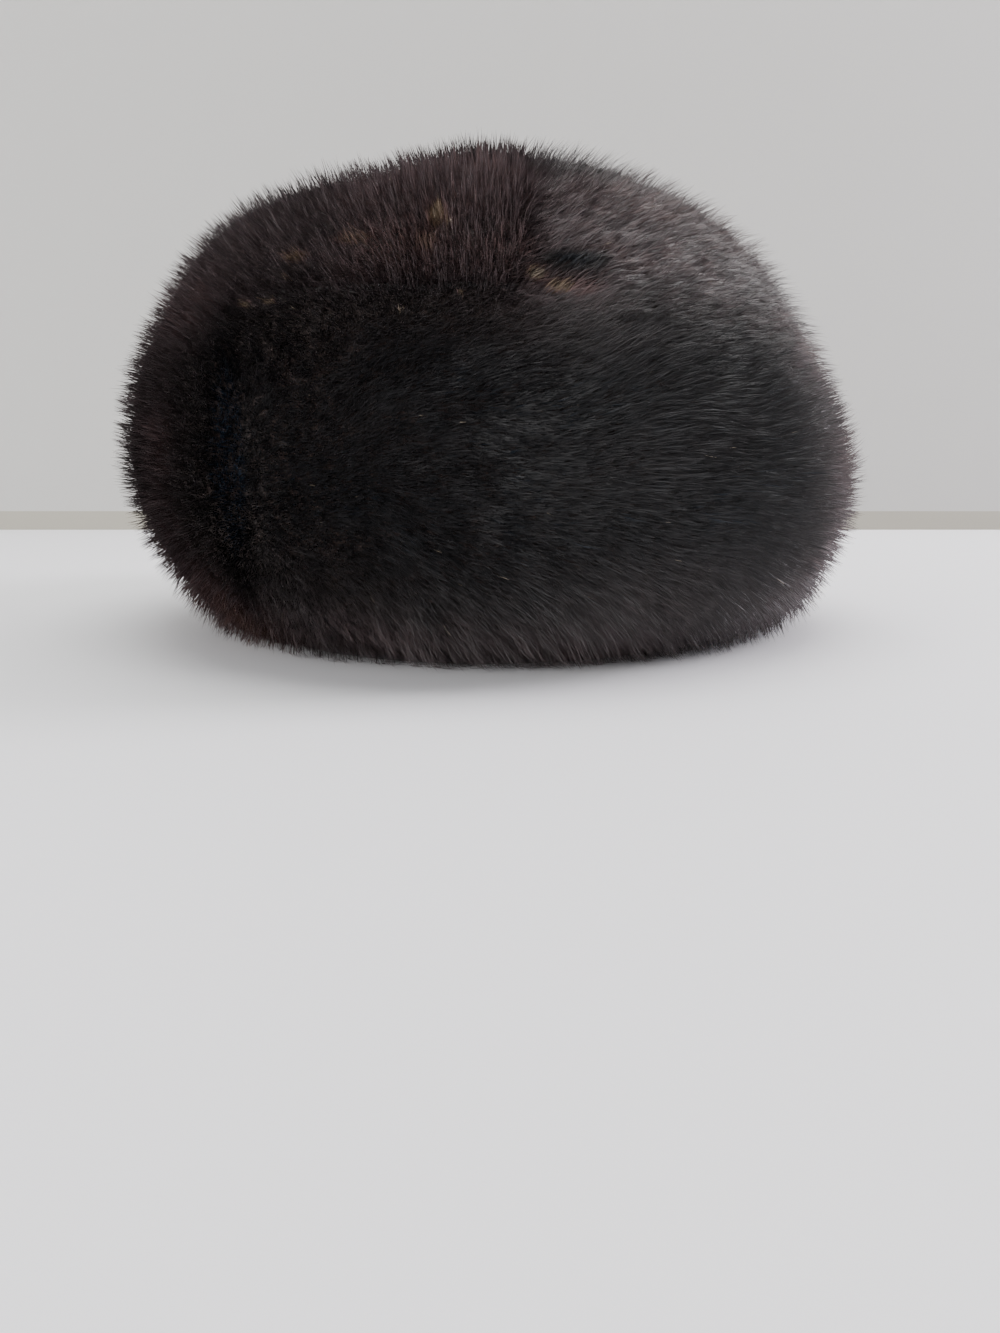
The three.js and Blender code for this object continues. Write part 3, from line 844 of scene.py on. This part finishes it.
def add_camera():
    data = bpy.data.cameras.new("camera")
    data.sensor_width = 36
    data.lens = data.sensor_width * FOCAL_PIXELS / IMAGE_HEIGHT
    data.clip_start = 0.01
    camera = bpy.data.objects.new("camera", data)
    camera.location = CAMERA_PLACE
    camera.rotation_euler = (math.pi / 2 - CAMERA_PITCH_DOWN, 0, 0)
    bpy.context.collection.objects.link(camera)
    bpy.context.scene.camera = camera


def add_sheet(name, corners, material):
    piece = make_mesh(name, np.array(corners, float) / MM, np.array([[0, 1, 2, 3]]), material, False)
    return piece


def painted_board(name, colour, one_sided=False):
    """Matt white painted board. A one-sided board is clear from behind, so that it hides no other view."""
    material, tree = new_material(name)
    surface = add_node(
        tree, "ShaderNodeBsdfPrincipled", {"Base Color": linear(colour), "Roughness": 0.6}
    ).outputs["BSDF"]
    if one_sided:
        clear = add_node(tree, "ShaderNodeBsdfTransparent").outputs["BSDF"]
        back = add_node(tree, "ShaderNodeNewGeometry").outputs["Backfacing"]
        mix = add_node(tree, "ShaderNodeMixShader", {"Fac": back})
        tree.links.new(surface, mix.inputs[1])
        tree.links.new(clear, mix.inputs[2])
        surface = mix.outputs["Shader"]
    add_node(tree, "ShaderNodeOutputMaterial", {"Surface": surface})
    return material


def add_light(name, location, target, size, watts, colour=0xFFFFFF):
    data = bpy.data.lights.new(name, "AREA")
    data.shape = "SQUARE"
    data.size = size
    data.energy = watts
    data.color = linear(colour)[:3]
    light = bpy.data.objects.new(name, data)
    light.location = location
    light.rotation_euler = (Vector(target) - Vector(location)).to_track_quat("-Z", "Y").to_euler()
    bpy.context.collection.objects.link(light)


def add_stage():
    far = 4.0
    floor = [(-far, -far, 0), (far, -far, 0), (far, far, 0), (-far, far, 0)]
    add_sheet("floor", floor, painted_board("white floor", 0xEEEEEF))
    for name, distance, height, colour in (
        ("wall", WALL_DISTANCE, 3.0, 0xC0BFBB),
        ("skirting", WALL_DISTANCE - 0.002, 0.015, 0xA8A497),
    ):
        board = [(-far, distance, 0), (far, distance, 0), (far, distance, height), (-far, distance, height)]
        add_sheet(name, board, painted_board("pale " + name, colour, one_sided=True))
    add_light("overhead", (0.1, 0.35, 1.25), (0, 0, 0.05), 1.1, 31)
    add_light("right_window", (1.12, 0.38, 0.78), (0, 0, 0.08), 0.8, 38, 0xFBF6FF)
    add_light("left_fill", (-1.2, -1.0, 0.35), (0, 0, 0.06), 1.0, 24)
    world = bpy.data.worlds.new("room")
    world.use_nodes = True
    tree = world.node_tree
    tree.nodes.clear()
    seen = add_node(tree, "ShaderNodeLightPath").outputs["Is Camera Ray"]
    room = add_node(tree, "ShaderNodeBackground", {"Color": linear(0xC9C7CA), "Strength": 0.85})
    view = add_node(tree, "ShaderNodeBackground", {"Color": linear(0xC9C8C4), "Strength": 2.2})
    mix = add_node(tree, "ShaderNodeMixShader", {"Fac": seen})
    tree.links.new(room.outputs["Background"], mix.inputs[1])
    tree.links.new(view.outputs["Background"], mix.inputs[2])
    add_node(tree, "ShaderNodeOutputWorld", {"Surface": mix.outputs["Shader"]})
    bpy.context.scene.world = world


add_camera()
add_stage()
make_pelts(mink_underfur(), tanned_hide())

matt_hair = mink_guard_hair("mink guard hair", 0.26)
glossy_hair = mink_guard_hair("glossy mink guard hair", 0.7)
body, long = body_coat(), long_coat()


def add_fur(name, slot, node, belongs):
    """The hairs of one part of the hat that a test picks out."""
    shapes = [hair_shapes(body, belongs(body), False), hair_shapes(long, belongs(long), True)]
    material = glossy_hair if slot == SLOTS[CROWN_RIGHT] else matt_hair
    place(hair_piece(name, shapes, material), slot, node)


for index, node in enumerate(REGIONS[:3]):
    add_fur(
        "fur_" + node.replace("crown_panel_", "crown_"), SLOTS[index], node,
        lambda hairs: hairs["region"] == index,
    )
BAND_SECTORS = {"front": -135, "right": -45, "back": 45, "left": 135}
for name, first in BAND_SECTORS.items():
    add_fur(
        "fur_band_" + name, SLOTS[BAND], "side_band",
        lambda hairs: (hairs["region"] == BAND) & ((np.degrees(hairs["bearing"]) - first) % 360 < 90),
    )
